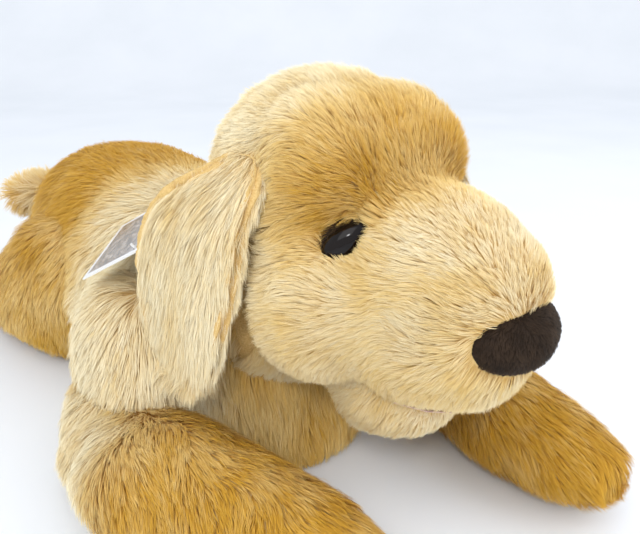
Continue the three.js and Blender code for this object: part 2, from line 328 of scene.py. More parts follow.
def grown(roots, spread, droop, length_spread=0.12):
    """Each root's strand as STEPS + 1 points. It leaves at its lift and lies down in the flow."""
    count = len(roots.points)
    turn = rng.normal(0, spread, count)[:, None]
    across = np.cross(roots.normals, roots.flow)
    flow = unit(roots.flow * np.cos(turn) + across * np.sin(turn))
    lift = roots.lift * np.exp(rng.normal(0, 0.18, count))
    length = roots.length * np.exp(rng.normal(0, length_spread, count))
    curves = np.empty((count, STEPS + 1, 3))
    curves[:, 0] = roots.points
    for step in range(STEPS):
        t = (step + 0.5) / STEPS
        angle = (lift * (1.45 - 0.95 * t))[:, None]  # steeper at the root, flatter at the tip
        heading = flow * np.cos(angle) + roots.normals * np.sin(angle)
        heading[:, 2] -= droop * t
        curves[:, step + 1] = curves[:, step] + unit(heading) * (length / STEPS)[:, None]
    return curves


def nearest(keys, places):
    tree = KDTree(len(places))
    for i, place in enumerate(places):
        tree.insert(place, i)
    tree.balance()
    find = tree.find
    return np.fromiter((find(key)[1] for key in keys), np.int64, len(keys))


def gathered(curves, roots, guides, guide_roots, strength, power):
    """Strands drawn towards the nearest guide, more towards the tip, as pile gathers in locks."""
    apart = 12 * MM  # keeps strands from guides on the other face of a thin part
    index = nearest(
        roots.points + roots.normals * apart, guide_roots.points + guide_roots.normals * apart
    )
    own = guides[index]
    share = strength * (np.arange(STEPS + 1) / STEPS)[None, :, None] ** power
    return curves + (own - curves) * share, index


def pile(roots, lock, wisp, spread, droop, hold):
    """Strands in fine wisps, and the wisps in larger locks.

    lock and wisp are their spacings. hold is how far a wisp's tip is drawn to its lock, and a
    strand's tip to its wisp.
    """
    many = len(roots.points)

    def chosen(spacing):
        count = min(many, max(8, int(roots.area / spacing**2)))
        return rng.choice(many, count, replace=False)

    lock_roots = roots.part(chosen(lock))
    lock_curves = grown(lock_roots, spread * 1.6, droop, 0.1)
    wisp_roots = roots.part(chosen(wisp))
    wisp_curves = grown(wisp_roots, spread, droop, 0.16)
    wisp_curves, _ = gathered(wisp_curves, wisp_roots, lock_curves, lock_roots, hold[0], 1.1)
    curves = grown(roots, spread * 0.7, droop, 0.1)
    curves, index = gathered(curves, roots, wisp_curves, wisp_roots, hold[1], 1.0)
    wisp_tone = rng.normal(0, 0.06, len(wisp_roots.points))
    tone = np.clip(roots.tone + wisp_tone[index] + rng.normal(0, 0.045, many), 0.02, 0.98)
    return curves, tone


ROLL = 0.3  # radians that ribbons are turned about their length, either way
TAPER = 0.6  # how fast a ribbon narrows on the way to its tip, where it ends in a point


def strand_mesh(name, curves, normals, tone, widths):
    """Tapered ribbons on the curves. UV u holds the tone, and v the place from root to tip."""
    count = len(curves)
    tangent = np.empty_like(curves)
    tangent[:, 1:-1] = curves[:, 2:] - curves[:, :-2]
    tangent[:, 0] = curves[:, 1] - curves[:, 0]
    tangent[:, -1] = curves[:, -1] - curves[:, -2]
    side = unit(np.cross(tangent, normals[:, None, :]))
    roll = rng.normal(0, ROLL, count)[:, None, None]
    side = unit(side * np.cos(roll) + normals[:, None, :] * np.sin(roll))
    t = np.arange(STEPS + 1) / STEPS
    half = widths[:, None, None] * (1 - TAPER * t)[None, :, None] / 2
    left = curves - side * half
    right = curves + side * half
    per = 2 * STEPS + 1
    points = np.empty((count, per, 3))
    points[:, 0:-1:2] = left[:, :-1]
    points[:, 1:-1:2] = right[:, :-1]
    points[:, -1] = curves[:, -1]
    points[:, :, 2] = np.maximum(points[:, :, 2], floor_gap)
    base = (np.arange(count) * per)[:, None]
    quads = [[2 * k, 2 * k + 1, 2 * k + 3, 2 * k + 2] for k in range(STEPS - 1)]
    corners = np.array(sum(quads, []) + [2 * STEPS - 2, 2 * STEPS - 1, 2 * STEPS])
    loops = (base + corners[None, :]).ravel()
    sizes = np.tile([4] * (STEPS - 1) + [3], count)
    starts = np.concatenate([[0], np.cumsum(sizes)[:-1]])
    mesh = bpy.data.meshes.new(name)
    mesh.vertices.add(count * per)
    mesh.vertices.foreach_set("co", points.astype(np.float32).ravel())
    mesh.loops.add(len(loops))
    mesh.loops.foreach_set("vertex_index", loops.astype(np.int32))
    mesh.polygons.add(len(sizes))
    mesh.polygons.foreach_set("loop_start", starts.astype(np.int32))
    mesh.polygons.foreach_set("use_smooth", np.ones(len(sizes), bool))
    mesh.update(calc_edges=True)
    rise = np.repeat(t, 2)[:per]
    uv = np.empty((count, len(corners), 2), np.float32)
    uv[:, :, 0] = tone[:, None]
    uv[:, :, 1] = (0.02 + 0.96 * rise[corners])[None, :]
    layer = mesh.uv_layers.new(name="OFBake")
    layer.uv.foreach_set("vector", uv.ravel())
    shaded = unit(mix_normals(side, tangent, normals))
    vertex = np.empty((count, per, 3))
    vertex[:, 0:-1:2] = shaded[:, :-1]
    vertex[:, 1:-1:2] = shaded[:, :-1]
    vertex[:, -1] = shaded[:, -1]
    mesh.normals_split_custom_set_from_vertices(vertex.reshape(-1, 3))
    obj = bpy.data.objects.new(name, mesh)
    bpy.context.scene.collection.objects.link(obj)
    return obj


def mix_normals(side, tangent, normals):
    """A ribbon's own normal, turned a little to the pelt's, as a soft mass is lit."""
    own = unit(np.cross(side, tangent))
    own *= np.sign(np.sum(own * normals[:, None, :], axis=2, keepdims=True) + 1e-9)
    own_share = 0.75
    return own * own_share + normals[:, None, :] * (1 - own_share)


MAX_STRANDS = 38000  # in one piece
BURIED = 9 * MM  # deeper inside another pelt than this, no pile is grown
pelts = []


def tree_of(obj):
    corners = [vert.co for vert in obj.data.vertices]
    return BVHTree.FromPolygons(corners, [polygon.vertices for polygon in obj.data.polygons])


def buried(obj):
    """For each of a pelt's points, 0 where it lies well inside another pelt, and 1 elsewhere."""
    points = positions(obj.data)
    out = np.ones(len(points))
    for other in pelts:
        if other is obj:
            continue
        low, high = positions(other.data).min(0), positions(other.data).max(0)
        tree = tree_of(other)
        for i in np.flatnonzero(((points > low) & (points < high)).all(axis=1)):
            place, normal, _, distance = tree.find_nearest(Vector(points[i]))
            if distance > BURIED and (Vector(points[i]) - place).dot(normal) < 0:
                out[i] = 0
    return out


def coat(name, obj, body, material, per_mm2, fields, lock, wisp, spread, droop, width, hold, stray):
    """The pile of one pelt, in pieces that ride on its body. stray bends the flow in slow waves."""
    covered = buried(obj)

    def keep(points, normals):
        return fields["keep"](points, normals) * covered

    roots = scatter(obj, per_mm2, keep)
    flow, lift, length, tone = fields["comb"](roots.points, roots.normals)
    wander = np.stack([wave_noise(roots.points, 48 * MM, 100 + axis) for axis in range(3)], axis=1)
    roots.flow = along_surface(unit(flow) + stray * wander, roots.normals)
    roots.lift = np.broadcast_to(lift, len(roots.points)).astype(float)
    roots.length = length
    roots.tone = tone
    roots.area = len(roots.points) / (per_mm2 * 1e6)
    curves, tone = pile(roots, lock, wisp, spread, droop, hold)
    order = np.argsort(roots.points[:, 1] + 0.25 * roots.points[:, 2])
    pieces = math.ceil(len(order) / MAX_STRANDS)
    made = []
    for i, part in enumerate(np.array_split(order, pieces)):
        widths = width * np.exp(rng.normal(0, 0.2, len(part)))
        piece = strand_mesh(
            f"{name}_pile_{i + 1}", curves[part], roots.normals[part], tone[part], widths
        )
        piece.data.materials.append(material)
        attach(piece, body)
        made.append(piece)
    print(f"{name}: {len(order)} strands in {pieces} pieces")
    return made


# ---- Which way each part is combed ------------------------------------------------------------
# A comb gives each root its flow (a direction), lift (radians off the pelt), length, and tone,
# from 0 for the darkest gold to 1 for the palest cream.

forehead = np.array([0, eye_y - 6 * MM, eye_places[1][2] + 46 * MM])
brow_places = [eye_places[s] + np.array([-s * 4, 8, 26]) * MM for s in (-1, 1)]

CHEEK_PILE = 13 * MM
BRIDGE_PILE = 7.5 * MM
CROWN_PILE = 14 * MM
JAW_PILE = 12 * MM
PARTED_PILE = 3.5 * MM
EYE_PILE = 8 * MM
TORSO_PILE = 21 * MM
FORELEG_PILE = 15 * MM
HIND_LEG_PILE = 18 * MM
TAIL_PILE = 20 * MM
EAR_PILE = 22 * MM
EAR_RIM_PILE = 15 * MM


def muzzle_share(points):
    """1 on the muzzle, 0 behind the eyes."""
    return 1 - ramp(points[:, 1], eye_y - 12 * MM, eye_y + 18 * MM)


def bridge_share(points, normals):
    """1 on the short, more upright pile of the muzzle's top panel."""
    top = ramp(normals[:, 2], 0.35, 0.75)
    return top * muzzle_share(points) * ramp(points[:, 2], lip_height, lip_height + 60 * MM)


def crown_share(points, normals):
    """1 on top of the head, behind the muzzle."""
    return ramp(normals[:, 2], 0.2, 0.8) * (1 - muzzle_share(points))


def jaw_share(points):
    """1 on the chin and under the jaw."""
    return 1 - ramp(points[:, 2], lip_height - 12 * MM, lip_height + 2 * MM)


def head_keep(points, normals):
    """No pile under the nose and the eyes."""
    share = np.ones(len(points))
    for obj, gap in bare:
        reach = gap * MM + 30 * MM
        low, high = positions(obj.data).min(0) - reach, positions(obj.data).max(0) + reach
        tree = tree_of(obj)
        for i in np.flatnonzero(((points > low) & (points < high)).all(axis=1)):
            place, normal, _, distance = tree.find_nearest(Vector(points[i]))
            if distance < gap * MM or (Vector(points[i]) - place).dot(normal) < 0:
                share[i] = 0
    return share


def head_flow(points):
    """Away from the nose, down the cheeks and lips, and out over the roots of the ears."""
    height = points[:, 2]
    flow = unit(points - (nose_middle + np.array([0, 6, 4]) * MM)) + np.array([0, 0.25, 0])
    low = 1 - ramp(height, lip_height + 10 * MM, lip_height + 60 * MM)
    flow = flow + low[:, None] * np.array([0, 0.0, -0.9])
    lip = ramp(height, lip_height - 2 * MM, lip_height + 3 * MM)
    lip = lip * (1 - ramp(height, lip_height + 14 * MM, lip_height + 30 * MM))
    flow = flow + lip[:, None] * np.array([0, 0.0, -1.6])
    behind = ramp(points[:, 1], eye_y, eye_y + 60 * MM)
    flow = flow + behind[:, None] * np.array([0, 0.6, -0.25])
    temple = ramp(np.abs(points[:, 0]), 40 * MM, 70 * MM) * ramp(height, 190 * MM, 225 * MM)
    temple = temple * ramp(points[:, 1], -220 * MM, -185 * MM)
    outward = same_way(points, (0.8, 0.1, -1.3))
    outward[:, 0] *= np.sign(points[:, 0])
    return flow + temple[:, None] * outward


def head_length(points, bridge, crown):
    """Short on the bridge and round the eyes and nose, and parted where the mouth shows."""
    length = mix(CHEEK_PILE, BRIDGE_PILE, bridge)
    length = mix(length, CROWN_PILE, crown)
    length = mix(length, JAW_PILE, jaw_share(points))
    for side in (-1, 1):
        mouth_edge = (side * 17 * MM, -271 * MM, lip_height - 3 * MM)
        parted = near(points, mouth_edge, 19 * MM)
        length = mix(length, PARTED_PILE, np.clip(1.4 * parted, 0, 1))
    length = length * (1 - 0.45 * near(points, nose_middle, 34 * MM))
    for side in (-1, 1):
        length = mix(length, EYE_PILE, near(points, eye_places[side], 16 * MM))
    return length


def head_tone(points, bridge, crown):
    """Pale, with dark gold on the forehead, the brows and the corners of the eyes."""
    tone = same_value(points, 0.68)
    tone = mix(tone, 0.84, bridge)
    tone = mix(tone, 0.93, crown)
    tone = mix(tone, 0.22, np.clip(1.1 * near(points, forehead, 40 * MM), 0, 1))
    for side, brow in zip((-1, 1), brow_places):
        tone = mix(tone, 0.0, np.clip(1.25 * near(points, brow, 30 * MM), 0, 1))
        tone = mix(tone, 0.18, 0.7 * near(points, eye_places[side], 17 * MM))
    tone = mix(tone, 0.78, jaw_share(points))
    return tone + 0.10 * wave_noise(points, 45 * MM, 3)


def head_comb(points, normals):
    bridge = bridge_share(points, normals)
    crown = crown_share(points, normals)
    lift = mix(mix(0.40, 0.72, bridge), 0.62, crown)
    length = head_length(points, bridge, crown)
    return head_flow(points), lift, length, head_tone(points, bridge, crown)


def everywhere(points, normals):
    """All over, but thinner where the dog lies on its pile."""
    return np.where((normals[:, 2] < -0.6) & (points[:, 2] < 14 * MM), 0.3, 1.0)


def torso_comb(points, normals):
    """Back and down, straight down on the chest. Pale as far as the loins, and gold behind."""
    flow = same_way(points, (0, 0.8, -0.55))
    front = ramp(-normals[:, 1], 0.1, 0.7) * (points[:, 1] < 0)
    flow = mix(flow, same_way(points, (0, -0.25, -1.0)), front)
    shoulder = ramp(-points[:, 1], -80 * MM, 0.0)
    flow = flow + (shoulder * (1 - front))[:, None] * np.array([0, -0.5, -0.6])
    tone = mix(0.97, 0.04, ramp(points[:, 1], 20 * MM, 100 * MM))
    # Painted shade: the middle of the chest front, under the chin, is darkened to deep gold as if
    # in the head's shadow.
    painted_shade_middle = 1 - ramp(np.abs(points[:, 0]), 50 * MM, 90 * MM)
    tone = mix(tone, 0.3, front * painted_shade_middle)
    tone += 0.12 * wave_noise(points, 70 * MM, 11)
    return flow, same_value(points, 0.40), same_value(points, TORSO_PILE), tone


def foreleg_comb(points, normals):
    """Forward along the leg, and straight down on the pale sleeve of its outer rear end."""
    outer = ramp(np.abs(points[:, 0]), 118 * MM, 152 * MM)
    back = ramp(points[:, 1], -175 * MM, -85 * MM)
    sleeve = np.clip(back * (0.3 + 0.9 * outer), 0, 1)
    flow = mix(same_way(points, (0, -0.9, -0.45)), same_way(points, (0, -0.2, -1.0)), sleeve)
    tone = mix(0.10, 0.9, sleeve) + 0.12 * wave_noise(points, 50 * MM, 21)
    return flow, same_value(points, 0.42), same_value(points, FORELEG_PILE), tone


def hind_leg_comb(points, normals):
    tone = 0.24 + 0.15 * wave_noise(points, 60 * MM, 31)
    flow = same_way(points, (0, 0.25, -0.9))
    return flow, same_value(points, 0.42), same_value(points, HIND_LEG_PILE), tone


def tail_comb(points, normals):
    tone = 0.55 + 0.15 * wave_noise(points, 50 * MM, 41)
    flow = same_way(points, (0, 0.9, -0.35))
    return flow, same_value(points, 0.45), same_value(points, TAIL_PILE), tone


def ear_comb(points, normals):
    """Down the ear, standing off a little round its rim."""
    rim = 1 - ramp(np.abs(normals[:, 0]), 0.35, 0.85)
    tone = 0.84 + 0.10 * wave_noise(points, 40 * MM, 51)
    flow = same_way(points, (0, 0.12, -1.0))
    return flow, mix(0.30, 0.5, rim), mix(EAR_PILE, EAR_RIM_PILE, rim), tone


# ---- How the pelts differ in form from the CAD ------------------------------------------------


def pile_depth(depth):
    """A pelt that lies the same depth under the outside of the pile all over."""
    return lambda points: same_value(points, depth)


def head_depth(points):
    high = ramp(points[:, 2], lip_height + 40 * MM, muzzle_top - 10 * MM)
    return mix(4.5 * MM, mix(3.5 * MM, 1.0 * MM, high), muzzle_share(points))


def head_form(points, shorter=0.38):
    """The chin is shorter than the muzzle above it, and rises a little towards its front."""
    points = points.copy()
    under = 1 - ramp(points[:, 2], lip_height - 6 * MM, lip_height + 4 * MM)
    start = nose_middle[1] + 68 * MM
    past = np.minimum(points[:, 1] - start, 0)
    points[:, 1] -= past * shorter * under
    rear = ramp(points[:, 1], -250 * MM, -200 * MM)
    points[:, 2] += mix(7 * MM, -4 * MM, rear) * under
    return points


EAR_FORWARD = {-1: -10 * MM, 1: -26 * MM}  # how far each ear's root was sewn towards the nose
EAR_THINNER = 0.6


def ear_form(points):
    """The ear leans back as it hangs, wraps the cheek, and its tip slopes down to the rear."""
    points = points.copy()
    top, tip = 250 * MM, 130 * MM
    side = 1 if points[0, 0] > 0 else -1
    hang = np.clip((top - points[:, 2]) / (top - tip), 0, 1.15)
    core = np.polyval(np.polyfit(points[:, 2], points[:, 0], 3), points[:, 2])
    points[:, 0] = core + (points[:, 0] - core) * EAR_THINNER
    middle_y = (ear_low[1] + ear_high[1]) / 2
    across = points[:, 1] - middle_y
    half = (ear_high[1] - ear_low[1]) / 2
    front = np.clip(-across / half, 0, 1)
    rear = np.clip(across / half, 0, 1)
    front_width = mix(0.64, 0.5, np.clip(hang, 0, 1))
    rear_width = 1.35 - 0.1 * hang
    across = across * np.where(across < 0, front_width, rear_width)
    points[:, 1] = middle_y + across + EAR_FORWARD[side] * (1 - ramp(hang, 0.0, 0.9))
    tilt = np.clip(across / half / 2, -0.6, 0.6)
    points[:, 2] -= (30 * MM * tilt + 5 * MM) * ramp(hang, 0.35, 1.1)
    tucked = 16 * MM * (1 - ramp(hang, 0.0, 0.3))
    bulge = 9 * MM * rear * ramp(hang, 0.0, 0.2) * (1 - ramp(hang, 0.4, 1.0))
    points[:, 0] -= side * (15 * MM * front**2 + tucked - bulge)
    return points


def ear_depth(points):
    """The ear thins towards its root, where it runs in under the pile of the head."""
    return mix(4.5 * MM, 5.0 * MM, ramp(points[:, 2], ear_high[2] - 50 * MM, ear_high[2]))


# ---- Materials --------------------------------------------------------------------------------


class Nodes:
    """A material's node tree, written as calls."""

    def __init__(self, name):
        self.material = bpy.data.materials.new(name)
        self.material.use_nodes = True
        self.tree = self.material.node_tree
        self.shader = self.tree.nodes["Principled BSDF"]

    def add(self, kind, **settings):
        node = self.tree.nodes.new(kind)
        for key, value in settings.items():
            setattr(node, key, value)
        return node

    def feed(self, node, name, value):
        if isinstance(value, bpy.types.NodeSocket):
            self.tree.links.new(value, node.inputs[name])
        else:
            node.inputs[name].default_value = value

    def set(self, **values):
        for key, value in values.items():
            self.feed(self.shader, key.replace("_", " "), value)

    def noise(self, place, scale, detail=4.0):
        node = self.add("ShaderNodeTexNoise")
        self.feed(node, "Vector", place)
        self.feed(node, "Scale", scale)
        self.feed(node, "Detail", detail)
        return node.outputs["Fac"]

    def stops(self, value, *points):
        node = self.add("ShaderNodeValToRGB")
        elements = node.color_ramp.elements
        while len(elements) < len(points):
            elements.new(0.5)
        for element, (place, colour) in zip(elements, points):
            element.position = place
            element.color = (*colour, 1)
        self.feed(node, "Fac", value)
        return node.outputs["Color"]

    def blend(self, share, a, b, kind="MIX"):
        node = self.add("ShaderNodeMix", data_type="RGBA", blend_type=kind)
        self.feed(node, 0, share)
        self.feed(node, 6, a if isinstance(a, bpy.types.NodeSocket) else (*a, 1))
        self.feed(node, 7, b if isinstance(b, bpy.types.NodeSocket) else (*b, 1))
        return node.outputs[2]

    def math(self, operation, a, b=0.0):
        node = self.add("ShaderNodeMath", operation=operation)
        self.feed(node, 0, a)
        self.feed(node, 1, b)
        return node.outputs[0]

    def bump(self, height, strength, distance):
        node = self.add("ShaderNodeBump")
        self.feed(node, "Height", height)
        self.feed(node, "Strength", strength)
        self.feed(node, "Distance", distance)
        self.feed(self.shader, "Normal", node.outputs["Normal"])


def object_place(nodes):
    return nodes.add("ShaderNodeTexCoord").outputs["Object"]


def pile_material(name, roots, tips):
    """Fibres coloured along their length, from the root to the tip, by each strand's own tone."""
    nodes = Nodes(name)
    uv = nodes.add("ShaderNodeUVMap", uv_map="OFBake").outputs["UV"]
    split = nodes.add("ShaderNodeSeparateXYZ")
    nodes.feed(split, "Vector", uv)
    tone, level = split.outputs["X"], split.outputs["Y"]
    root = nodes.stops(tone, *roots)
    tip = nodes.stops(tone, *tips)
    rise = nodes.stops(level, (0.0, (0, 0, 0)), (0.45, (0.55, 0.55, 0.55)), (1.0, (1, 1, 1)))
    nodes.set(Base_Color=nodes.blend(rise, root, tip), Roughness=0.62)
    nodes.set(Sheen_Weight=0.05, Sheen_Roughness=0.5, Sheen_Tint=(1.0, 0.93, 0.75, 1.0))
    nodes.set(Specular_IOR_Level=0.14)
    return nodes.material


def backing_material():
    """The knitted backing that shows between the roots of the pile."""
    nodes = Nodes("pile_backing")
    place = object_place(nodes)
    knit = nodes.noise(place, 900.0)
    colour = nodes.stops(knit, (0.3, (0.62, 0.40, 0.13)), (0.7, (0.78, 0.56, 0.24)))
    nodes.set(Base_Color=colour, Roughness=0.9)
    nodes.bump(knit, 0.5, 0.5 * MM)
    return nodes.material


def nose_material():
    nodes = Nodes("nose_velour")
    place = object_place(nodes)
    nap = nodes.noise(place, 520.0)
    rubbed = nodes.noise(place, 60.0)
    colour = nodes.stops(nap, (0.3, (0.006, 0.0035, 0.002)), (0.75, (0.030, 0.017, 0.010)))
    colour = nodes.blend(nodes.math("MULTIPLY", rubbed, 0.25), colour, (0.07, 0.042, 0.025))
    nodes.set(Base_Color=colour, Roughness=0.9, Sheen_Weight=0.06, Sheen_Roughness=0.4)
    nodes.set(Specular_IOR_Level=0.15)
    nodes.bump(nap, 0.6, 0.6 * MM)
    return nodes.material


def eye_material():
    nodes = Nodes("eye_gloss")
    place = object_place(nodes)
    depth = nodes.noise(place, 40.0)
    colour = nodes.stops(depth, (0.3, (0.003, 0.002, 0.002)), (0.8, (0.012, 0.007, 0.005)))
    nodes.set(Base_Color=colour, Roughness=0.05, Specular_IOR_Level=0.24)
    return nodes.material


def washer_material():
    nodes = Nodes("washer_plastic")
    colour = nodes.stops(
        nodes.noise(object_place(nodes), 200.0), (0.3, (0.6, 0.6, 0.58)), (0.7, (0.75, 0.75, 0.72))
    )
    nodes.set(Base_Color=colour, Roughness=0.5)
    return nodes.material


def mouth_material():
    nodes = Nodes("mouth_velour")
    nap = nodes.noise(object_place(nodes), 700.0)
    colour = nodes.stops(nap, (0.3, (0.72, 0.44, 0.38)), (0.7, (0.86, 0.60, 0.53)))
    nodes.set(Base_Color=colour, Roughness=0.85, Sheen_Weight=0.3)
    nodes.bump(nap, 0.4, 0.4 * MM)
    return nodes.material


def card_material(across, along, half_across, half_along, centre):
    """A glossy printed card with a white edge and a soft grey-brown picture of a meadow."""
    nodes = Nodes("tag_print")
    place = object_place(nodes)

    def share(axis, half):
        dot = nodes.add("ShaderNodeVectorMath", operation="DOT_PRODUCT")
        nodes.feed(dot, 0, place)
        nodes.feed(dot, 1, tuple(axis))
        offset = nodes.math("SUBTRACT", dot.outputs["Value"], float(np.dot(axis, centre)))
        return nodes.math("DIVIDE", offset, half)

    u, v = share(across, half_across), share(along, half_along)
    edge = nodes.math("MAXIMUM", nodes.math("ABSOLUTE", u), nodes.math("ABSOLUTE", v))
    border = nodes.math("GREATER_THAN", edge, 0.88)
    cloud = nodes.noise(place, 60.0)
    blades = nodes.noise(place, 260.0)
    ground = nodes.stops(
        blades, (0.35, (0.035, 0.026, 0.018)), (0.5, (0.20, 0.15, 0.10)), (0.7, (0.50, 0.44, 0.38))
    )
    haze = nodes.stops(cloud, (0.4, (0.22, 0.19, 0.17)), (0.65, (0.62, 0.60, 0.58)))
    picture = nodes.blend(nodes.stops(u, (0.35, (0, 0, 0)), (0.75, (1, 1, 1))), ground, haze)
    colour = nodes.blend(border, picture, (0.86, 0.86, 0.86))
    nodes.set(Base_Color=colour, Roughness=0.22, Coat_Weight=0.5, Coat_Roughness=0.1)
    return nodes.material


def pin_material():
    nodes = Nodes("tag_pin_nylon")
    colour = nodes.stops(
        nodes.noise(object_place(nodes), 300.0), (0.3, (0.7, 0.7, 0.7)), (0.7, (0.85, 0.85, 0.85))
    )
    nodes.set(Base_Color=colour, Roughness=0.35)
    return nodes.material


gold = pile_material(
    "gold_pile",
    ((0.0, (0.50, 0.22, 0.02)), (0.5, (0.72, 0.45, 0.12)), (1.0, (0.84, 0.64, 0.32))),
    ((0.0, (0.70, 0.40, 0.035)), (0.5, (0.90, 0.70, 0.31)), (1.0, (0.98, 0.91, 0.68))),
)
backing = backing_material()

# ---- The pelts and their pile -----------------------------------------------------------------

HEAD_NODES = (
    "crown_gusset",
    "muzzle_bridge",
    "chin_panel",
    "head_panel_left",
    "head_panel_right",
    "head_stuffing",
    "chin_stuffing",
)
TORSO_NODES = ("torso_panel_left", "torso_panel_right", "belly_panel", "torso_stuffing")


def add_pelt(nodes, name, body, depth, fill, voxel=5 * MM, rounds=6, **shape):
    """A pelt in place of some CAD nodes. fill is how firmly it is stuffed, or None, and is not
    used.
    """
    obj = pelt(nodes, name, voxel, rounds, depth, **shape)
    obj.data.materials.append(backing)
    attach(obj, body)
    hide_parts(*nodes)
    pelts.append(obj)
    return obj


def limb_pelt(name, depth, fill, **shape):
    nodes = (f"{name}_skin", f"{name}_stuffing")
    return add_pelt(nodes, f"{name}_pelt", name, pile_depth(depth), fill, **shape)


def foreleg_form(points):
    """The upper foreleg lies low, under the loose fabric of the shoulder."""
    points = points.copy()
    rear = ramp(points[:, 1], -150 * MM, -70 * MM)
    points[:, 2] *= 1 - 0.28 * rear
    return points


def ear_pelt(side):
    nodes = (f"ear_outer_{side}", f"ear_lining_{side}")
    return add_pelt(
        nodes, f"ear_{side}_pelt", f"ear_{side}", ear_depth, None, voxel=3 * MM, form=ear_form
    )


def ball(x, y, z, half_x, half_y, half_z):
    """A ball's centre and half sizes, from millimetres."""
    return np.array([x, y, z]) * MM, np.array([half_x, half_y, half_z]) * MM


def both_sides(x, *rest):
    return [ball(side * x, *rest) for side in (-1, 1)]


# The torso's panels have hollows for the limbs and neck, which its fabric bridges. Each ring is
# (y, half width, bottom, top), in millimetres.
TORSO_RINGS = (
    (-194, 34, 22, 96),
    (-182, 56, 6, 116),
    (-166, 68, -4, 130),
    (-128, 80, -10, 148),
    (-76, 101, -12, 174),
    (-20, 110, -8, 184),
    (40, 106, -6, 190),
    (94, 100, -4, 199),
    (150, 96, -2, 205),
    (205, 90, 2, 200),
    (240, 84, 6, 187),
    (262, 72, 16, 166),
    (274, 50, 36, 140),
)


def torso_form(points):
    """The chest draws back under the chin."""
    points = points.copy()
    past = np.minimum(points[:, 1] + 118 * MM, 0)
    points[:, 1] -= 0.45 * past
    points[:, 0] *= 1 - 0.14 * ramp(-past, 0.0, 50 * MM)
    return points


torso_rings = tuple(tuple(value * MM for value in ring) for ring in TORSO_RINGS)
neck_fill = ball(0, -104, 146, 82, 72, 66)
shoulder_fill = both_sides(101, -46, 66, 43, 76, 84)
torso_pelt = add_pelt(
    TORSO_NODES,
    "torso_pelt",
    "torso",
    pile_depth(6 * MM),
    0.7,
    rings=torso_rings,
    balls=[neck_fill, *shoulder_fill],
    form=torso_form,
)
muzzle_fill = ball(0, -264, 179, 47, 51, 46)
forehead_fill = both_sides(28, -180, 238, 42, 46, 46)
head_pelt = add_pelt(
    HEAD_NODES,
    "head_pelt",
    "head",
    head_depth,
    0.85,
    voxel=4 * MM,
    balls=[muzzle_fill, *forehead_fill],
    form=head_form,
)


def elbow_fill(side):
    """The loose fabric round the elbow, where the foreleg runs in under the shoulder."""
    return [ball(side * 131, -78, 38, 43, 60, 38), ball(side * 139, -128, 44, 43, 62, 42)]


def foreleg_pelt(side):
    fill = elbow_fill(SIDE[side])
    return limb_pelt(f"foreleg_{side}", 4 * MM, 0.75, form=foreleg_form, balls=fill)


foreleg_pelts = {side: foreleg_pelt(side) for side in SIDE}
hind_leg_pelts = {side: limb_pelt(f"hind_leg_{side}", 5 * MM, 0.75) for side in SIDE}
tail_pelt = limb_pelt("tail", 4 * MM, 0.6)
ear_pelts = {side: ear_pelt(side) for side in SIDE}


# ---- Face, mouth and tag ----------------------------------------------------------------------


def smooth_copy(nodes, name, body, voxel, rounds, material, form):
    """A smooth piece in place of some CAD nodes, for what has no long pile."""
    obj = joined(nodes, name)
    remesh(obj, voxel)
    keep_largest(obj)
    edges = edges_of(obj.data)
    points = positions(obj.data)
    points = form(points)
    points = evened(points, edges, rounds, 0.55)
    set_positions(obj.data, points)
    obj.data.polygons.foreach_set("use_smooth", [True] * len(obj.data.polygons))
    obj.data.materials.append(material)
    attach(obj, body)
    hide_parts(*nodes)
    return obj


eye_gloss = eye_material()
bare = []  # what the pile of the head keeps clear of, with a gap in millimetres
EYE_LONG, EYE_SHORT = 1.32, 0.88  # the almond of the eye against the round dome


def eye_axes(side):
    """The way an eye looks, its long axis up towards the nose, and its short axis."""
    outward = unit(np.array([side * 0.62, -0.76, 0.2]))
    slant = np.array([-side * 0.754, -0.362, 0.542])
    slant = unit(slant - outward * (slant @ outward))
    return outward, slant, np.cross(outward, slant)


def eye_form(points):
    """An almond dome that stands a little further out and forward, in reach of the light."""
    centre = points.mean(0)
    side = np.sign(centre[0])
    _, slant, across = eye_axes(side)
    offset = points - centre
    offset = offset + (EYE_LONG - 1) * np.outer(offset @ slant, slant)
    offset = offset + (EYE_SHORT - 1) * np.outer(offset @ across, across)
    return centre + offset + np.array([side * 1.5, -3.0, 0.5]) * MM


eyes = {}
for side in SIDE:
    eye = smooth_copy(
        (f"eye_{side}",), f"eye_{side}_dome", "head", 0.9 * MM, 12, eye_gloss, eye_form
    )
    eyes[side] = eye
    bare.append((eye, 1.4))

nose_velour = nose_material()


def nose_form(points):
    """A wide, low nose, drawn back at its sides round the end of the muzzle."""
    points = (points - nose_middle) * np.array([1.18, 1.0, 1.0])
    points[:, 1] += 0.12 * np.abs(points[:, 0]) - 1.5 * MM
    points[:, 2] -= 1.5 * MM
    return points + nose_middle


nose = smooth_copy(
    ("nose_cover", "nose_padding"), "nose_pad", "head", 1.2 * MM, 10, nose_velour, nose_form
)
bare.append((nose, 0.3))


def mouth_form(points):
    """The lining follows the shorter chin, and only its edge shows between the lips."""
    points = head_form(points, 0.14)
    points[:, 0] *= 0.87
    points[:, 2] -= 2.5 * MM
    return points


def repaint(node, material):
    """Gives a CAD solid that shows as it is its own material."""
    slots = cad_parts[node].data.materials
    slots.clear()
    slots.append(material)


mouth = smooth_copy(
    ("mouth_lining",), "mouth_velour", "head", 1.2 * MM, 4, mouth_material(), mouth_form
)
card_across = unit(np.array([0.27, -0.83, 0.48]))
card_along = unit(np.array([0.78, 0.48, 0.41]))
card_points = positions(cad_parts["hang_tag"].data)
card_centre = (box("hang_tag")[0] + box("hang_tag")[1]) / 2
half_across = float(np.ptp(card_points @ card_across)) / 2
half_along = float(np.ptp(card_points @ card_along)) / 2
repaint(
    "hang_tag", card_material(card_across, card_along, half_across, half_along, card_centre)
)
repaint("tag_pin", pin_material())
washer = washer_material()
for side in SIDE:
    repaint(f"eye_washer_{side}", washer)


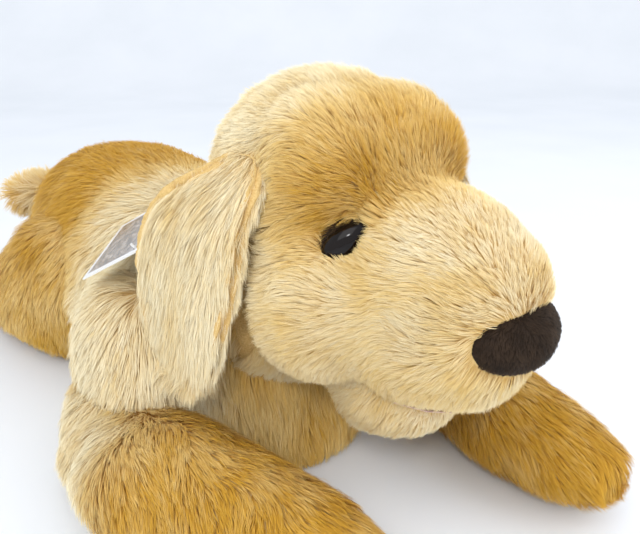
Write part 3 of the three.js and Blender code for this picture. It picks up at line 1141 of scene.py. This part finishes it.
# ---- Growing the pile -------------------------------------------------------------------------

HOLD = (0.3, 0.5)  # the pull of a lock on its wisps, and of a wisp on its strands


def grow(name, obj, body, per_mm2, comb, keep=everywhere, lock=11, wisp=3.2, spread=0.16, droop=0.4,
         width=0.45, stray=0.3):
    """Golden pile. lock and wisp are spacings, and width a strand's at its root, in millimetres."""
    fields = {"keep": keep, "comb": comb}
    coat(name, obj, body, gold, per_mm2, fields, lock=lock * MM, wisp=wisp * MM, spread=spread,
         droop=droop, width=width * MM, hold=HOLD, stray=stray)


grow("torso", torso_pelt, "torso", 0.70, torso_comb, droop=0.5, width=0.5, stray=0.22)
grow("head", head_pelt, "head", 2.2, head_comb, head_keep, lock=8, wisp=2.0, droop=0.2, width=0.32)
for side in SIDE:
    name = f"foreleg_{side}"
    grow(name, foreleg_pelts[side], name, 1.05, foreleg_comb, wisp=2.8)
    name = f"hind_leg_{side}"
    grow(name, hind_leg_pelts[side], name, 0.68, hind_leg_comb, width=0.5)
    name = f"ear_{side}"
    grow(name, ear_pelts[side], name, 1.65, ear_comb, spread=0.14, wisp=2.4, width=0.36, stray=0.15)
grow("tail", tail_pelt, "tail", 0.9, tail_comb)


# ---- The nap of the nose ----------------------------------------------------------------------


NOSE_PILE = 3.2 * MM


def nose_comb(points, normals):
    """Brushed away from a place high on the nose."""
    flow = points - (nose_middle + np.array([-10, 0, 16]) * MM)
    tone = 0.45 + 0.2 * wave_noise(points, 14 * MM, 61)
    return flow, same_value(points, 0.35), same_value(points, NOSE_PILE), tone


def front_of_nose(points, normals):
    """No nap on the back, which is sunk in the muzzle."""
    return (points[:, 1] < nose_high[1] - 4 * MM).astype(float)


nose_nap = pile_material(
    "nose_nap",
    ((0.0, (0.012, 0.007, 0.004)), (1.0, (0.035, 0.02, 0.012))),
    ((0.0, (0.018, 0.010, 0.006)), (1.0, (0.07, 0.042, 0.024))),
)
nose_fields = {"keep": front_of_nose, "comb": nose_comb}
coat("nose", nose, "head", nose_nap, 2.6, nose_fields, lock=5 * MM, wisp=1.6 * MM, spread=0.3,
     droop=0.1, width=0.3 * MM, hold=HOLD, stray=0.5)


# ---- Lashes -----------------------------------------------------------------------------------

LASH_COUNT = 900
LASH_REACH = 10.3 * MM  # from the eye's middle, before the almond stretches it
LASH_PILE = 5.5 * MM
LASH_WIDTH = 0.4 * MM


def add_lashes(side, eye):
    """Short dark pile sewn round the eye, lying over the rim of the dome."""
    centre = positions(eye.data).mean(0)
    outward, slant, across = eye_axes(SIDE[side])
    count = LASH_COUNT
    turn = rng.uniform(0, 2 * math.pi, count)
    rim = np.outer(np.cos(turn) * EYE_LONG, slant) + np.outer(np.sin(turn) * EYE_SHORT, across)
    places = centre + rim * (LASH_REACH * rng.uniform(0.86, 1.08, count)[:, None])
    places = places + outward * (rng.uniform(-0.5, 1.5, count)[:, None] * MM + 1.5 * MM)
    roots = Roots(places, unit(rim * 0.5 + outward))
    inward = rng.normal(-0.1, 0.5, count)[:, None]
    roots.flow = along_surface(rim * inward + np.cross(outward, rim) * 0.6, roots.normals)
    roots.lift = np.full(count, 0.5)
    roots.length = np.full(count, LASH_PILE)
    curves = grown(roots, 0.3, 0.1)
    tone = np.clip(rng.normal(0.4, 0.2, count), 0.02, 0.98)
    widths = np.full(count, LASH_WIDTH)
    lashes = strand_mesh(f"eye_{side}_lashes", curves, roots.normals, tone, widths)
    lashes.data.materials.append(lash)
    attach(lashes, "head")


lash = pile_material(
    "lash_pile",
    ((0.0, (0.012, 0.007, 0.004)), (1.0, (0.03, 0.018, 0.01))),
    ((0.0, (0.02, 0.012, 0.006)), (1.0, (0.10, 0.055, 0.02))),
)
for side in SIDE:
    add_lashes(side, eyes[side])


# ---- Floor, light and camera ------------------------------------------------------------------

CAMERA_PLACE = (-0.2747, -0.4699, 0.322)
CAMERA_WAY = (0.6001, 0.7152, -0.3584)
CAMERA_LENS = 36.56  # in millimetres, as the sensor's width
CAMERA_SENSOR = 36.0
SKY_COLOUR = (0.93, 0.96, 1.0, 1)
SKY_STRENGTH = 1.02


def add_floor():
    """A pale sheet that lies flat and sweeps up behind the dog with no horizon."""
    half, reach, bend, height, turns = 5.0, 2.2, 1.2, 6.0, 12
    outline = [(-half, 0.0), (reach, 0.0)]
    for step in range(1, turns + 1):
        angle = math.pi / 2 * step / turns
        outline.append((reach + bend * math.sin(angle), bend * (1 - math.cos(angle))))
    outline.append((reach + bend, height))
    heading = Vector((0.6427, 0.7660))
    points = []
    for along, up in outline:
        for across in (-half, half):
            place = heading * along + heading.orthogonal() * across
            points.append((place.x, place.y, up))
    faces = [(2 * i, 2 * i + 1, 2 * i + 3, 2 * i + 2) for i in range(len(outline) - 1)]
    mesh = bpy.data.meshes.new("floor")
    mesh.from_pydata(points, [], faces)
    mesh.polygons.foreach_set("use_smooth", [True] * len(faces))
    obj = bpy.data.objects.new("floor", mesh)
    bpy.context.scene.collection.objects.link(obj)
    nodes = Nodes("pale_floor")
    cloud = nodes.noise(object_place(nodes), 3.0)
    colour = nodes.stops(cloud, (0.3, (0.85, 0.875, 0.91)), (0.7, (0.895, 0.915, 0.95)))
    nodes.set(Base_Color=colour, Roughness=0.8)
    mesh.materials.append(nodes.material)


def add_light(name, place, aim, size, power):
    data = bpy.data.lights.new(name, "AREA")
    data.size = size
    data.energy = power
    obj = bpy.data.objects.new(name, data)
    bpy.context.scene.collection.objects.link(obj)
    obj.location = place
    direction = Vector(aim) - Vector(place)
    obj.rotation_euler = direction.to_track_quat("-Z", "Y").to_euler()


def add_world():
    world = bpy.data.worlds.new("studio")
    world.use_nodes = True
    sky = world.node_tree.nodes["Background"]
    sky.inputs["Color"].default_value = SKY_COLOUR
    sky.inputs["Strength"].default_value = SKY_STRENGTH
    bpy.context.scene.world = world


def add_camera():
    data = bpy.data.cameras.new("camera")
    data.sensor_width = CAMERA_SENSOR
    data.lens = CAMERA_LENS
    camera = bpy.data.objects.new("camera", data)
    bpy.context.scene.collection.objects.link(camera)
    camera.location = CAMERA_PLACE
    camera.rotation_euler = Vector(CAMERA_WAY).to_track_quat("-Z", "Y").to_euler()
    bpy.context.scene.camera = camera


add_floor()
add_world()
add_light("key", (-0.9, -0.7, 1.5), aim=(0, -0.05, 0.15), size=1.2, power=7.5)
add_light("fill", (0.9, -1.3, 0.9), aim=(0, -0.1, 0.15), size=1.5, power=8)
add_light("glint", (-1.0, -1.15, 1.25), aim=(-0.05, -0.2, 0.2), size=0.22, power=5.0)
add_camera()
bpy.context.scene.view_settings.view_transform = "Standard"
